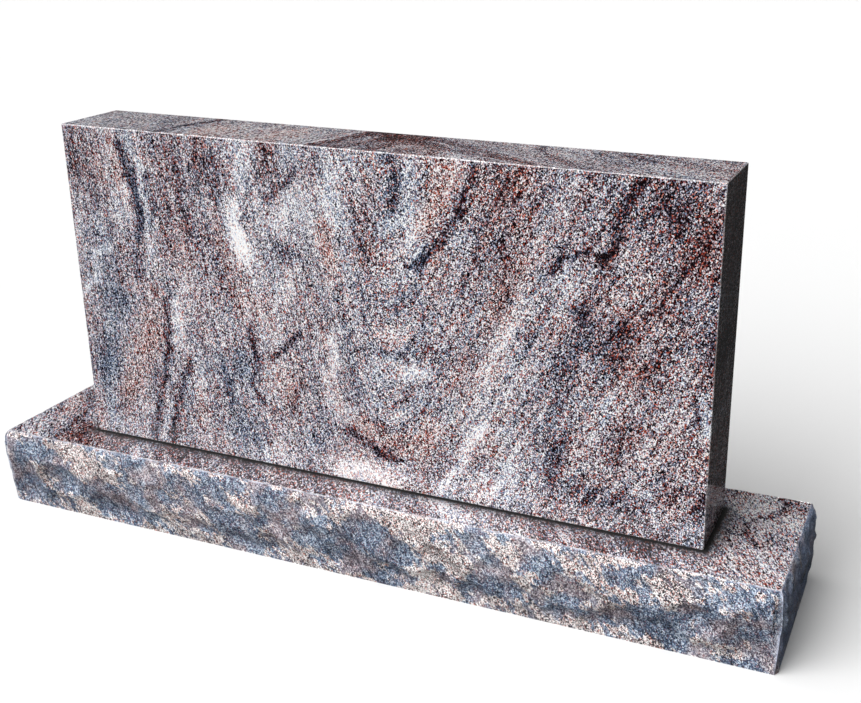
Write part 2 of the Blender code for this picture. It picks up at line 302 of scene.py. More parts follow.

# %% [markdown]
# The streaks that give this stone its face are set one by one, as a painter of false marble would set them:
# each row has half a width, a tone, a blush, and then the two coordinates of each point of its line. The
# die's are in mm across from its left edge and up from its foot. Its top is unfolded, so its rows run in mm
# across and back from the front edge.

# %% Veins of the die
DIE_VEINS = (
    # The white quartz streak, with the paler stretch above it
    (13, 1.9, -0.2, 362, 492, 362, 450, 368, 415),
    (17, 2.2, -0.2, 366, 440, 372, 400),
    (16, 0.8, -0.3, 374, 600, 368, 545, 362, 500),
    (16, 0.6, -0.2, 395, 600, 388, 560),
    # Blue-black streaks at the upper left, with a white line between them
    (9, -1.7, -0.8, 124, 578, 142, 523, 154, 465, 150, 415),
    (8, -1.0, -0.6, 178, 530, 184, 470, 180, 440),
    (6, 0.9, -0.8, 147, 600, 158, 540, 166, 495, 176, 445, 172, 380, 165, 340),
    (11, -0.9, -0.3, 137, 390, 140, 338),
    (10, -0.9, -0.3, 86, 430, 80, 400),
    (18, 0.1, 1.2, 108, 590, 112, 510),
    (9, 0.7, 0.2, 126, 505, 124, 465),
    # Left edge
    (26, -0.8, 0.6, 20, 600, 24, 520),
    (24, -0.5, 0.3, 60, 560, 60, 470),
    (9, 0.9, -0.6, 8, 290, 24, 312, 46, 335, 44, 368, 74, 380),
    (14, 0.7, -0.3, 64, 420, 78, 385),
    (9, 0.6, -0.2, 4, 400, 14, 440),
    (30, -0.6, -0.8, 98, 270, 66, 215, 46, 170, 40, 140),
    (20, -0.3, -0.9, 34, 165, 30, 110),
    (34, -0.5, -0.7, 60, 400, 78, 300),
    (16, 0.1, -1.1, 40, 70, 44, 30),
    (18, -0.2, 0.8, 90, 120, 70, 50),
    (20, -0.35, 0.6, 108, 380, 104, 330),
    # The pink band and the dark streaks beside it
    (32, 0.0, 1.15, 160, 310, 152, 215),
    (26, -0.05, 1.0, 136, 190, 114, 140, 92, 90),
    (7, -1.6, -0.2, 196, 300, 193, 240, 186, 180, 166, 115, 147, 55, 138, 15),
    (9, -1.5, 0.0, 234, 186, 214, 128, 196, 78, 184, 20),
    (8, 0.8, -0.6, 182, 85, 168, 45, 160, 5),
    (13, 1.4, 0.0, 222, 290, 216, 255, 214, 225),
    (8, 0.5, 0.0, 226, 215, 222, 170),
    # Brown and pink streaks right of the blue-black ones
    (34, -0.45, 0.5, 225, 590, 225, 480, 240, 400),
    (8, -1.1, 0.2, 247, 560, 247, 500, 262, 430),
    (16, -0.75, 0.5, 292, 600, 296, 560),
    (17, -0.9, 0.1, 316, 560, 326, 510),
    (20, -0.1, 0.7, 312, 470, 316, 420),
    (20, 0.15, 0.5, 228, 390, 236, 330),
    (22, -0.4, 0.0, 338, 380, 330, 320),
    (18, 0.3, -0.3, 272, 178, 262, 150),
    (34, -0.6, -0.8, 330, 190, 322, 130, 340, 60),
    (14, -0.2, 0.7, 252, 120, 250, 60),
    # The dark patch right of the white streak
    (24, -0.9, 0.7, 432, 600, 428, 560),
    (8, -1.2, 0.1, 490, 566, 455, 535, 424, 506),
    (40, 0.75, -0.3, 560, 560, 545, 500),
    (26, 0.7, -0.2, 470, 505, 455, 460),
    (9, -0.5, -0.2, 530, 590, 548, 530),
    (15, -0.85, -0.6, 452, 418, 470, 420),
    (11, 0.9, 0.1, 464, 380, 458, 335),
    (16, 0.0, 1.8, 538, 475, 548, 410),
    (8, 0.6, 0.9, 545, 420, 553, 375),
    (10, -0.5, 0.0, 585, 560, 598, 500, 600, 440),
    # Middle of the top
    (8, -1.6, -0.1, 670, 600, 677, 565, 673, 512),
    (16, -0.1, 1.0, 628, 570, 630, 530),
    (19, -0.75, 0.6, 622, 510, 626, 420),
    (16, 0.6, -0.7, 702, 590, 702, 500, 706, 450),
    (26, 0.15, 1.9, 772, 590, 752, 530, 735, 495),
    (5, -2.5, -0.2, 820, 600, 812, 572, 797, 542, 782, 505, 753, 465, 722, 430, 698, 420),
    (9, -0.6, -0.4, 856, 490, 830, 450, 806, 420, 790, 380),
    (30, -0.05, 0.8, 838, 585, 830, 520),
    (11, -0.6, 0.6, 868, 590, 860, 540),
    (16, -0.5, 0.4, 893, 600, 888, 555),
    (15, 0.1, 0.7, 920, 570, 900, 500),
    (15, -0.5, 0.4, 872, 465, 864, 410, 850, 370),
    (20, -0.1, 0.6, 760, 440, 745, 380),
    (16, -0.3, -0.4, 690, 360, 660, 340),
    # The long pale band down the right arm of the fold
    (16, 0.5, 0.1, 985, 590, 953, 523, 922, 470, 902, 400, 886, 340, 862, 297, 838, 245),
    (26, 0.8, -0.1, 850, 250, 830, 200, 810, 150),
    (12, 1.3, 0.1, 838, 146, 800, 112, 780, 62, 745, 5),
    (13, 0.7, 0.0, 880, 330, 870, 280),
    (40, 0.5, -0.1, 905, 240, 880, 170, 870, 60),
    (15, 0.6, 0.3, 850, 45, 820, 15),
    (20, 0.5, -0.4, 880, 80, 872, 30),
    (12, -0.2, 1.2, 846, 126, 850, 112),
    (11, -0.35, 0.6, 862, 262, 852, 222),
    # The dark hook at the upper right
    (9, -1.8, 0.1, 1092, 600, 1062, 545, 1044, 480, 1030, 468),
    (7, -2.0, 0.0, 1040, 478, 1000, 482, 970, 465, 950, 440),
    (20, 0.2, 0.3, 1000, 580, 985, 520),
    (20, 0.35, 0.3, 1075, 500, 1062, 430),
    (26, 0.75, 0.1, 972, 440, 978, 385),
    (18, 0.3, 0.6, 1052, 410, 1066, 380),
    (12, -1.5, -0.7, 986, 388, 1002, 368),
    (14, -1.3, -0.4, 1072, 366, 1050, 338, 1020, 318),
    (18, -0.6, -0.5, 985, 318, 965, 260, 962, 220),
    (11, -0.5, 0.2, 1066, 320, 1056, 280),
    (22, -0.1, 0.5, 1085, 300, 1080, 250),
    (9, 0.4, -1.2, 1050, 240, 1044, 200),
    (48, -0.8, 0.6, 1150, 590, 1175, 490),
    (15, -1.1, 0.1, 1143, 560, 1152, 530),
    (24, -0.4, 0.8, 1200, 560, 1190, 480),
    (26, -0.35, 0.7, 1130, 440, 1150, 380),
    (15, 0.35, 0.2, 1196, 450, 1186, 400),
    (13, -1.3, -0.3, 1216, 355, 1214, 320),
    (16, -0.5, 0.3, 1130, 330, 1110, 280),
    (8, 0.7, -1.1, 1204, 270, 1212, 200),
    (5, -1.2, -0.2, 1190, 260, 1198, 220),
    (30, 0.2, 0.45, 1162, 240, 1150, 150),
    (13, -0.7, 0.0, 1074, 175, 1064, 130),
    (14, -0.9, -0.2, 962, 140, 958, 70),
    (22, -0.6, -0.6, 1018, 62, 1080, 62),
    (9, 0.9, -0.6, 1118, 80, 1134, 40),
    (12, -1.2, -0.2, 1212, 95, 1210, 70),
    (14, -0.1, 0.9, 1168, 90, 1160, 50),
    (20, 0.1, 0.6, 1010, 200, 1000, 150),
    # The U at the middle
    (14, 1.3, -0.3, 690, 225, 726, 230),
    (30, 0.5, -0.4, 650, 225, 640, 175),
    (12, -0.5, -0.3, 610, 262, 660, 258, 705, 266, 770, 285),
    (20, 0.35, 0.6, 625, 295, 655, 290),
    (22, 0.05, 0.7, 790, 250, 775, 215),
    (10, -0.5, -0.3, 606, 128, 650, 120),
    (22, 0.0, 1.6, 600, 112, 660, 98, 715, 95, 735, 130),
    (7, -2.0, -0.3, 560, 100, 598, 88, 628, 70, 668, 57),
    (26, 1.5, 0.75, 560, 18, 600, 22, 640, 8),
    (8, 0.1, 1.0, 526, 298, 532, 240, 540, 185, 556, 140),
    (9, 1.5, 0.1, 543, 275, 552, 230, 545, 200),
    (9, 0.8, 0.0, 528, 205, 534, 170, 548, 130),
    (12, -0.35, -0.5, 574, 270, 584, 220, 592, 180),
    (8, 0.1, 0.8, 600, 280, 598, 240, 606, 200),
    (6, -2.1, 0.1, 478, 268, 450, 240, 418, 215),
    (30, 0.2, 0.7, 410, 320, 430, 280, 440, 262),
    (8, -1.4, 0.0, 376, 260, 386, 200, 374, 156, 396, 120),
    (26, 0.05, 0.6, 470, 210, 440, 150),
    (13, -0.6, 0.5, 470, 175, 462, 130, 420, 105),
    (22, -0.15, -0.8, 525, 110, 500, 60),
    (17, 0.5, 0.2, 420, 30, 400, 10),
)

# In mm across from the left edge and back from the front edge
DIE_TOP_VEINS = (
    (60, 0.3, -0.5, 30, 30, 60, 120),
    (30, -0.2, -0.5, 150, 110, 180, 60),
    (8, -1.6, -0.3, 206, 0, 213, 45, 238, 118, 252, 152),
    (12, 0.1, -1.0, 230, 30, 248, 80),
    (40, 0.35, 0.9, 290, 60, 440, 90),
    (30, 0.2, 0.7, 300, 20, 470, 30),
    (5, 1.0, 0.0, 500, 0, 522, 75, 546, 152),
    (16, -1.6, 0.5, 524, 8, 545, 75, 572, 140),
    (20, -1.4, 0.9, 560, 12, 590, 60, 610, 120),
    (18, -1.3, 0.8, 620, 10, 640, 70, 600, 145),
    (18, -1.1, 0.7, 680, 12, 690, 60, 640, 130),
    (16, -1.0, 0.6, 740, 25, 720, 70, 650, 148),
    (12, -0.8, 0.4, 840, 50, 760, 95, 680, 140),
    (9, -0.8, 0.4, 900, 20, 800, 40, 760, 60),
    (7, -0.7, 0.2, 980, 30, 920, 75, 880, 130),
    (7, -1.1, -0.2, 884, 145, 888, 105),
    (12, -1.0, -0.2, 985, 118, 1005, 100),
    (14, -0.9, -0.2, 1030, 130, 1090, 90),
    (30, 0.5, -0.3, 1090, 50, 1160, 35),
    (50, 0.2, -0.2, 850, 110, 960, 100),
)
print(len(DIE_VEINS), "veins on the die's faces and", len(DIE_TOP_VEINS), "on its top")

# %% [markdown]
# ## From veins to tone and blush
#
# A vein is darkest or palest on its line and fades to both sides, as a bell curve does. Where
# veins and bands cross, their numbers add up. A soft limit then keeps the sum from making plain
# black or plain white stone.

# %% Tone and blush from the veins
# Streaks of the bands: thickness in mm, seed and amount. Then clouds in all directions, the same
TONE_STREAKS = ((26, 3, 0.16), (13, 5, 0.17), (7, 7, 0.22))
BLUSH_STREAKS = ((34, 11, 0.25), (14, 13, 0.3))
TONE_CLOUDS = (48, 81, 0.12)
BLUSH_CLOUDS = (60, 87, 0.25)
# A vein wobbles with noise of one size in mm, and frays with finer and weaker noise
WOBBLE_SIZE = 26
FRAY_SIZE = 7
FRAY_SHARE = 0.6


def nearness(across, up, half_width, line):
    """1 along a line and less beside it: a bell curve of the distance from its nearest point,
    with half a width as the unit. The nearest point of each stretch is found by laying the
    point square onto the stretch and keeping it between the stretch's two ends."""
    nearest = np.full(across.shape, np.inf)
    corners = list(zip(line[::2], line[1::2]))
    for (x0, z0), (x1, z1) in zip(corners, corners[1:]):
        run, rise = x1 - x0, z1 - z0
        share = ((across - x0) * run + (up - z0) * rise) / (run * run + rise * rise)
        share = np.clip(share, 0, 1)
        nearest = np.minimum(nearest, np.hypot(across - x0 - share * run, up - z0 - share * rise))
    return np.exp(-((nearest / half_width) ** 2))


def add_veins(rows, across, up, wobble):
    """The summed tone and blush of every vein. Points are first moved at random by about a wobble."""
    points = np.stack([across, up, np.zeros_like(up)], axis=-1)
    x = across + wobble * (rough_noise(points, WOBBLE_SIZE, 31) + FRAY_SHARE * noise(points, FRAY_SIZE, 41))
    z = up + wobble * (rough_noise(points, WOBBLE_SIZE, 51) + FRAY_SHARE * noise(points, FRAY_SIZE, 61))
    tone, blush = np.zeros(across.shape), np.zeros(across.shape)
    for half_width, vein_tone, vein_blush, *line in rows:
        near = nearness(x, z, half_width, line)
        tone += vein_tone * near
        blush += vein_blush * near
    return tone, blush


def bands(place, across, up, deep):
    """Tone and blush that the fold gives everywhere: streaks of a few thicknesses, and clouds."""
    points = np.stack([across, deep, up], axis=-1)
    for streaks, (size, seed, amount) in ((TONE_STREAKS, TONE_CLOUDS), (BLUSH_STREAKS, BLUSH_CLOUDS)):
        streaked = sum(much * streaky(place, across, up, deep, thick, s) for thick, s, much in streaks)
        yield streaked + amount * rough_noise(points, size, seed)


# Veins count for this much next to the bands
VEIN_SHARE = 0.72
PALEST = 2.0
DARKEST = 1.5
# The die's top is a little paler, and its right part is darker and pinker, over these mm across
TOP_PALER = 0.14
RIGHT_PART = (650, 1150)
RIGHT_DARKER = 0.22
RIGHT_PINKER = 0.2
LESS_PINK = 0.1


def soft_limit(tone):
    """The limit times the hyperbolic tangent of tone over the limit: equal to tone near 0, and
    never past the limit."""
    limit = np.where(tone > 0, PALEST, DARKEST)
    return limit * np.tanh(tone / limit)


across, deep, up = ((die_points - die_low) / MM).T
die_fold = fold_place(across, up, deep)
die_tone, die_blush = bands(die_fold, across, up, deep)
# 1 on the top, 0 on the sides and in between round the arris
on_top = ramp(die_normals[:, 2], 0.3, 0.9)
face_tone, face_blush = add_veins(DIE_VEINS, across, up, wobble=4.5)
top_tone, top_blush = add_veins(DIE_TOP_VEINS, across, deep, wobble=3.0)
die_tone += VEIN_SHARE * (face_tone * (1 - on_top) + top_tone * on_top)
die_tone += TOP_PALER * on_top - RIGHT_DARKER * ramp(across, *RIGHT_PART)
die_blush += VEIN_SHARE * (face_blush * (1 - on_top) + top_blush * on_top)
die_blush += RIGHT_PINKER * ramp(across, *RIGHT_PART) - LESS_PINK
die_tone = soft_limit(die_tone)
# The narrow arris is painted paler than the faces, as a painted highlight along the rounding. A normal's
# largest part is 1 on a face and less on the arris
ARRIS_HIGHLIGHT = 0.25
die_painted_highlight = ARRIS_HIGHLIGHT * (1 - ramp(np.abs(die_normals).max(axis=1), 0.95, 1.0))
print("die tone", die_tone.mean().round(2), "spreads by", die_tone.std().round(2))

# %% [markdown]
# The die's mesh carries the pattern and the painted highlight of its arris as four attributes. Its exact
# normals are stored as well, so that the few points of the arris shade like a true rounding.

# %% Make the die
die_pattern = {"tone": die_tone, "blush": die_blush, "fold": die_fold, "edge": die_painted_highlight}
die = add_piece("polished_die", die_points, die_quads, die_pattern)
die.data.normals_split_custom_set_from_vertices(die_normals)

# %% [markdown]
# ## The base's rock face
#
# A mason pitches a rock face with a wide chisel: each blow breaks a shallow dish off the side,
# and the stone is left swollen between a straight top edge and a straight foot. The shape is a
# function of two numbers, the distance along a side and the share of the height. It starts from
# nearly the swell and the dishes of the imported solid. Smaller chips and a grain of noise then
# break the dishes up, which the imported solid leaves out.

# %% Sizes of the rock face
# The crown is the share of the height where the rock stands out most. The brow is the power of
# the curve above it: the smaller, the fuller. A corner has a swell and a foot of its own, and
# the sides turn into it over the run. Dishes and grain fade out over the last two shares
BASE_LENGTH = 1520 * MM
BASE_DEPTH = 302 * MM
BASE_HEIGHT = base_high[2]
CROWN = 0.70
BROW = 0.65
CORNER = (6 * MM, 1 * MM)
CORNER_RUN = 8 * MM
FADE_AT_FOOT = 0.14
FADE_AT_TOP = 0.07

Side = namedtuple("Side", "name start along out run swell foot seed")
Dish = namedtuple("Dish", "along height half_length half_height lean depth")

SIDES = (
    Side("front", (-BASE_LENGTH / 2, -BASE_DEPTH / 2), (1, 0), (0, -1), BASE_LENGTH, 18 * MM, 1 * MM, 1),
    Side("right", (BASE_LENGTH / 2, -BASE_DEPTH / 2), (0, 1), (1, 0), BASE_DEPTH, 14 * MM, 6 * MM, 2),
    Side("back", (BASE_LENGTH / 2, BASE_DEPTH / 2), (-1, 0), (0, 1), BASE_LENGTH, 16 * MM, 3 * MM, 3),
    Side("left", (-BASE_LENGTH / 2, BASE_DEPTH / 2), (0, -1), (-1, 0), BASE_DEPTH, 25 * MM, 4 * MM, 4),
)


def swell_at(share, most, foot):
    """How far the rock stands out at a share of the height: foot at the bottom, most at the
    crown, nothing at the top edge. It is a power of the height times a power of what is left."""
    below = BROW * CROWN / (1 - CROWN)
    rise = (share / CROWN) ** below * ((1 - share) / (1 - CROWN)) ** BROW
    return foot * (1 - share) + (most - foot * (1 - CROWN)) * rise


print("base", BASE_LENGTH / MM, "x", BASE_DEPTH / MM, "x", round(BASE_HEIGHT / MM, 1), "mm")

# %% [markdown]
# The dishes are lists. Large ones on the front are placed one by one after the real stone, and
# struck ones fill the rest in rows, moved at random. Taking off the deepest dish at each point,
# and not their sum, leaves a ridge where two dishes meet. Boolean cuts would give the same shape,
# but they are slow and leave a ragged mesh.

# %% Dishes of the rock face
# Distance, height, half length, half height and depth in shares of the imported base's height, and
# lean in degrees. The first lot is alike at both ends of the front, the second from its middle
END_DISHES = (
    (0.20, 0.33, 0.33, 0.47, 0.075, 0),
    (0.43, 0.86, 0.16, 0.13, 0.030, -20),
    (0.83, 0.50, 0.34, 0.23, 0.085, -10),
    (0.79, 0.09, 0.28, 0.13, 0.045, -8),
    (1.67, 0.82, 0.14, 0.17, 0.035, -30),
    (1.69, 0.20, 0.44, 0.29, 0.080, -8),
    (2.27, 0.43, 0.17, 0.10, 0.034, -14),
    (2.35, 0.16, 0.24, 0.12, 0.042, -12),
)
MIDDLE_DISHES = (
    (-2.00, 0.24, 0.27, 0.10, 0.035, -22),
    (-1.51, 0.49, 0.33, 0.13, 0.040, -8),
    (-1.41, 0.13, 0.31, 0.14, 0.052, -10),
    (-0.97, 0.80, 0.22, 0.15, 0.066, -35),
    (-0.72, 0.52, 0.16, 0.09, 0.030, -50),
    (-0.52, 0.84, 0.13, 0.17, 0.046, -50),
    (-0.10, 0.25, 0.34, 0.22, 0.072, -20),
    (0.33, 0.69, 0.41, 0.22, 0.072, -10),
    (0.56, 0.18, 0.30, 0.16, 0.052, -12),
    (1.15, 0.84, 0.13, 0.06, 0.033, -60),
    (1.15, 0.21, 0.29, 0.18, 0.052, -15),
    (1.64, 0.77, 0.24, 0.20, 0.072, -30),
    (2.00, 0.39, 0.30, 0.17, 0.052, -15),
    (2.46, 0.84, 0.13, 0.18, 0.040, -45),
)
# The height, in metres, that the shares above are shares of
DISH_UNIT = 0.1524
# Struck dishes stand in rows at shares of that height. Each is moved by up to a share of a step
# along and of the height up, turned by up to an angle, and sized between two limits
DISH_SPACING = 66 * MM
DISH_LEAN = math.radians(-32)
DISH_SEED = 7
STRUCK_ROWS = (0.22, 0.51, 0.80)
STRUCK_MOVE = (0.3, 0.10)
STRUCK_TURN = math.radians(16)
STRUCK_HALF_LENGTH = (36 * MM, 62 * MM)
STRUCK_HALF_HEIGHT = (21 * MM, 36 * MM)
STRUCK_DEPTH = (5 * MM, 12 * MM)
# The ends are struck less deeply than the long sides
END_DEPTH = 0.4


def large_dish(along, row):
    """The dish of one row, at a distance along the side."""
    height, half_length, half_height, depth = [DISH_UNIT * size for size in row[1:5]]
    return Dish(along, height, half_length, half_height, math.radians(row[5]), depth)


def large_dishes(run):
    """The large dishes of the front: those at both ends, mirrored, and those along the middle."""
    for row in END_DISHES:
        dish = large_dish(DISH_UNIT * row[0], row)
        yield dish
        yield dish._replace(along=run - dish.along, lean=-dish.lean)
    for row in MIDDLE_DISHES:
        yield large_dish(run / 2 + DISH_UNIT * row[0], row)


def struck_dishes(side):
    """Rows of dishes at even steps along a side, each moved and turned at random."""
    rng = random.Random(DISH_SEED + side.seed)
    count = max(1, round(side.run / DISH_SPACING))
    for row in STRUCK_ROWS:
        for i in range(count):
            yield Dish(
                side.run / count * (i + 0.5 + rng.uniform(-1, 1) * STRUCK_MOVE[0]),
                DISH_UNIT * (row + rng.uniform(-1, 1) * STRUCK_MOVE[1]),
                rng.uniform(*STRUCK_HALF_LENGTH),
                rng.uniform(*STRUCK_HALF_HEIGHT),
                DISH_LEAN + rng.uniform(-1, 1) * STRUCK_TURN,
                rng.uniform(*STRUCK_DEPTH),
            )


def bowl(dishes, along, height):
    """How deep the deepest dish is at each point, and how far inside its rim the point lies.

    Inside is 1 minus r squared, where r is 1 on the rim of the leaning ellipse, so it is 1 at
    the middle, 0 on the rim and below 0 outside. Depth is the dish's own depth times that."""
    depth = np.zeros(np.broadcast(along, height).shape)
    inside = np.full(depth.shape, -1.0)
    for dish in dishes:
        right, rise = along - dish.along, height - dish.height
        cosine, sine = math.cos(dish.lean), math.sin(dish.lean)
        u = (right * cosine + rise * sine) / dish.half_length
        v = (rise * cosine - right * sine) / dish.half_height
        within = 1 - u * u - v * v
        depth = np.maximum(depth, dish.depth * within)
        inside = np.maximum(inside, within)
    return depth, inside


def dishes_of(side):
    """All dishes of a side. On the front, struck ones stay only where no large one is."""
    struck = list(struck_dishes(side))
    if side.name in ("left", "right"):
        return [d._replace(depth=d.depth * END_DEPTH) for d in struck]
    if side.name == "back":
        return struck
    large = list(large_dishes(side.run))
    return large + [d for d in struck if bowl(large, d.along, d.height)[0] == 0]


for side in SIDES:
    print(side.name, "has", len(dishes_of(side)), "dishes")

# %% [markdown]
# Chips are much smaller dishes, a few hundred to a side. Where two chips meet they leave a sharp
# ridge, as broken stone does. Noise of two sizes stands for the grain of the break.
#
# A clean break shows slate-blue crystals, and where the chisel bruised the stone it is crushed to cream.
# How bruised the rock is goes from -1 to 1, and it is a number at each point as well. Near the foot it also
# holds painted light, and at the right end painted bluish shade. The main patches of the front are rows
# like the veins, so the same function draws them.

# %% Slate and cream patches of the front
# In mm along the front and up: half a width, how bruised, and a line
ROCK_PATCHES = (
    (16, -1.0, 15, 132, 85, 126),
    (30, -1.0, 28, 75, 55, 50),
    (22, -1.1, 112, 86, 160, 66),
    (24, -1.2, 215, 52, 275, 30),
    (14, -1.0, 322, 138, 345, 110),
    (10, -0.7, 290, 92, 330, 78),
    (24, -1.2, 488, 66, 560, 34),
    (12, -0.7, 420, 110, 470, 80),
    (17, -1.3, 590, 142, 625, 112),
    (14, -0.8, 655, 120, 690, 80),
    (28, -1.2, 715, 84, 775, 40),
    (26, -1.4, 795, 112, 860, 74),
    (16, -1.0, 1000, 144, 1035, 104),
    (18, -0.9, 1020, 56, 1065, 40),
    (12, -0.9, 1115, 130, 1150, 114),
    (11, -0.9, 1170, 60, 1215, 34),
    (9, -1.0, 1250, 124, 1280, 122),
    (28, -1.3, 1305, 48, 1370, 34),
    (22, -1.2, 1410, 84, 1450, 66),
    (24, -1.2, 1490, 70, 1500, 40),
    (10, -1.0, 1470, 128, 1495, 118),
    (14, 1.1, 175, 116, 270, 100),
    (12, 1.0, 95, 142, 185, 132),
    (11, 0.8, 80, 105, 100, 60),
    (10, 0.7, 170, 40, 195, 20),
    (24, 1.0, 590, 52, 632, 22),
    (12, 0.8, 530, 120, 575, 90),
    (24, 1.3, 880, 140, 925, 104, 975, 80),
    (12, 0.9, 900, 40, 960, 20),
    (14, 0.8, 1075, 130, 1100, 90, 1110, 60),
    (12, 1.0, 1190, 132, 1235, 110, 1290, 96),
    (13, 1.3, 1325, 116, 1395, 96),
    (10, 1.1, 1388, 64, 1396, 30),
    (7, 1.1, 1470, 100, 1476, 34),
    (10, 0.8, 1400, 34, 1470, 22),
)
print(len(ROCK_PATCHES), "patches")

# %% [markdown]
# All of it meets in one function for the relief: the swell, less the dishes and the chips, plus
# the grain. Dishes, chips and grain fade out towards the straight top edge and the foot.

# %% Relief of a side
CHIPS_PER_METRE = 420
CHIP_HALF_LENGTH = (6 * MM, 22 * MM)
CHIP_FLATNESS = (0.35, 0.7)
CHIP_TURN = math.radians(35)
CHIP_DEPTH = 0.13
# Sizes and heights of the grain, how far it stands out as a whole, and its share at a corner. It
# fades out so many times closer to an edge than the dishes do
ROUGHNESS = ((16 * MM, 1.1 * MM), (6 * MM, 0.55 * MM))
GRAIN_RISE = 1.2 * MM
GRAIN_AT_CORNER = 0.35
GRAIN_CLOSER = 1.6
# How bruised the rock is at first, and the noise in it: size in mm and seed, both as strong. The
# matrix turns and stretches the noise down to the right
PLAIN_BRUISE = 0.46
BRUISE_NOISE = ((60, 91), (24, 95))
NOISE_BRUISE = 0.25
LEANING = np.array([[0.55, -0.6, 0], [0.55, 1.3, 0], [0, 0, 1]])
# More bruised above the middle, which is a little below half the height
HIGH_BRUISE = 0.12
HIGH_MIDDLE = 0.45
# More cream close to the foot, partly the cream that the foot shows and partly painted light against the
# shade under the swell, and less bruised inside a dish, each over a span
FOOT_CREAM_AND_LIGHT = 0.17
FOOT_SPAN = (0.3, 0.04)
DISH_BRUISE = -0.16
DISH_SPAN = (0.1, 0.5)
CREAM_SHARE = 0.36
SLATE_SHARE = 0.56
# The right end is in shade. It is pushed all to slate here, and on to plain blue in the material, as
# painted bluish shade
RIGHT_END_PAINTED_SHADE = -1.2


def chips(side):
    """Small dishes at random all over a side, deeper where they are longer."""
    rng = random.Random(side.seed)
    for _ in range(round(CHIPS_PER_METRE * side.run)):
        half_length = rng.uniform(*CHIP_HALF_LENGTH)
        yield Dish(
            rng.uniform(0, side.run),
            rng.uniform(0, BASE_HEIGHT),
            half_length,
            half_length * rng.uniform(*CHIP_FLATNESS),
            DISH_LEAN + rng.uniform(-CHIP_TURN, CHIP_TURN),
            half_length * CHIP_DEPTH,
        )


def bruising_and_painted_light(side, points, share, inside):
    """How bruised the rock is, from -1 to 1: a plain amount, moved by leaning noise, by the height, by
    dishes and by patches. Near the foot it also holds painted light, and at the right end painted bluish
    shade."""
    clouds = sum(noise(points @ LEANING, size, seed + side.seed) for size, seed in BRUISE_NOISE)
    bruise = PLAIN_BRUISE + NOISE_BRUISE * clouds + HIGH_BRUISE * (share - HIGH_MIDDLE)
    # The foot's extra cream is partly painted light against the shade under the swell
    bruise += DISH_BRUISE * ramp(inside, *DISH_SPAN) + FOOT_CREAM_AND_LIGHT * ramp(share, *FOOT_SPAN)
    if side.name == "front":
        rows = [(half_width, bruised, 0, *line) for half_width, bruised, *line in ROCK_PATCHES]
        patches = add_veins(rows, points[..., 0], points[..., 1], wobble=5.0)[0]
        bruise += np.where(patches > 0, CREAM_SHARE, SLATE_SHARE) * patches
    # Painted bluish shade: the right end, which is in shade, is made all slate here and plain blue in the
    # material
    if side.name == "right":
        bruise += RIGHT_END_PAINTED_SHADE
    return np.clip(bruise, -1, 1)


def rock_relief(side, along, share):
    """How far the rock stands out, and how bruised it is, for columns at along and rows at share.

    The swell, less dishes and chips, plus grain. Near a corner it turns into the corner's own
    smaller swell, so that two sides meet."""
    height = share * BASE_HEIGHT
    edge = np.minimum(share / FADE_AT_FOOT, (1 - share) / FADE_AT_TOP)
    depth, inside = bowl(dishes_of(side), along, height)
    chip_depth, _ = bowl(chips(side), along, height)
    grid = np.broadcast_arrays(along, height, side.seed * 1.0)
    points = np.stack(grid, axis=-1)
    grain = sum(amount * rough_noise(points, size, seed=71 + side.seed) for size, amount in ROUGHNESS)
    fine = np.clip(edge * GRAIN_CLOSER, 0, 1) * (grain + GRAIN_RISE - chip_depth)
    own = swell_at(share, side.swell, side.foot) - depth * np.clip(edge, 0, 1) + fine
    corner = swell_at(share, *CORNER) + GRAIN_AT_CORNER * fine
    blend = ramp(np.minimum(along, side.run - along), 0, CORNER_RUN)
    return corner + (own - corner) * blend, bruising_and_painted_light(side, points / MM, share, inside)


print("a chip is at most", round(CHIP_HALF_LENGTH[1] * CHIP_DEPTH / MM, 1), "mm deep")

# %% [markdown]
# Each side becomes a grid: columns every few mm along it, and rows that crowd together towards
# the sharp top edge, where small chips bite into the polish. The four grids join into one band
# round the base.

# %% Points of the base
ROCK_STEP = 3.5 * MM
ROCK_ROWS = 40
ROW_CROWDING = 1.25
BITE_SIZES = (9 * MM, 3.5 * MM)
BITE_LIMIT = 0.1
BITE_DEPTH = 2.2 * MM
BITE_FREE_CORNER = 10 * MM
# A bite tapers off from the top to this share of the height
BITE_FOOT = 0.93


def edge_bite(side, along):
    """How far small chips bite into the polished top's edge: noise where it is above a limit.

    The noise has two sizes, and the finer one is half as strong."""
    points = np.stack(np.broadcast_arrays(along, side.seed * 1.0, 0.0), axis=-1)
    rough = noise(points, BITE_SIZES[0], 17) + 0.5 * noise(points, BITE_SIZES[1], 19)
    from_corner = np.minimum(along, side.run - along)
    return BITE_DEPTH * np.clip(rough - BITE_LIMIT, 0, 1) * ramp(from_corner, 0, BITE_FREE_CORNER)


def side_grid(side, before):
    """Points and bruising of one side, by column from its first corner to just before its last.

    Each column moves straight out by the relief, and the corner's column out of both sides."""
    count = round(side.run / ROCK_STEP)
    along = (np.arange(count) * side.run / count)[:, None]
    share = 1 - np.linspace(1, 0, ROCK_ROWS + 1)[None, :] ** ROW_CROWDING
    relief, bruise = rock_relief(side, along, share)
    relief = relief - edge_bite(side, along) * ramp(share, BITE_FOOT, 1)
    points = np.empty((count, ROCK_ROWS + 1, 3))
    for axis in (0, 1):
        points[..., axis] = side.start[axis] + side.along[axis] * along + side.out[axis] * relief
    points[0, :, :2] += np.outer(relief[0], before.out)
    points[..., 2] = share * BASE_HEIGHT
    return points, bruise


side_grids = [side_grid(side, SIDES[i - 1]) for i, side in enumerate(SIDES)]
rock = np.concatenate([points for points, _ in side_grids])
rock = np.concatenate([rock, rock[:1]])
rock_bruise = np.concatenate([bruise for _, bruise in side_grids])
rock_bruise = np.concatenate([rock_bruise, rock_bruise[:1]])
counts = [len(points) for points, _ in side_grids]
print("rock face", rock.shape[0], "columns and", rock.shape[1], "rows")
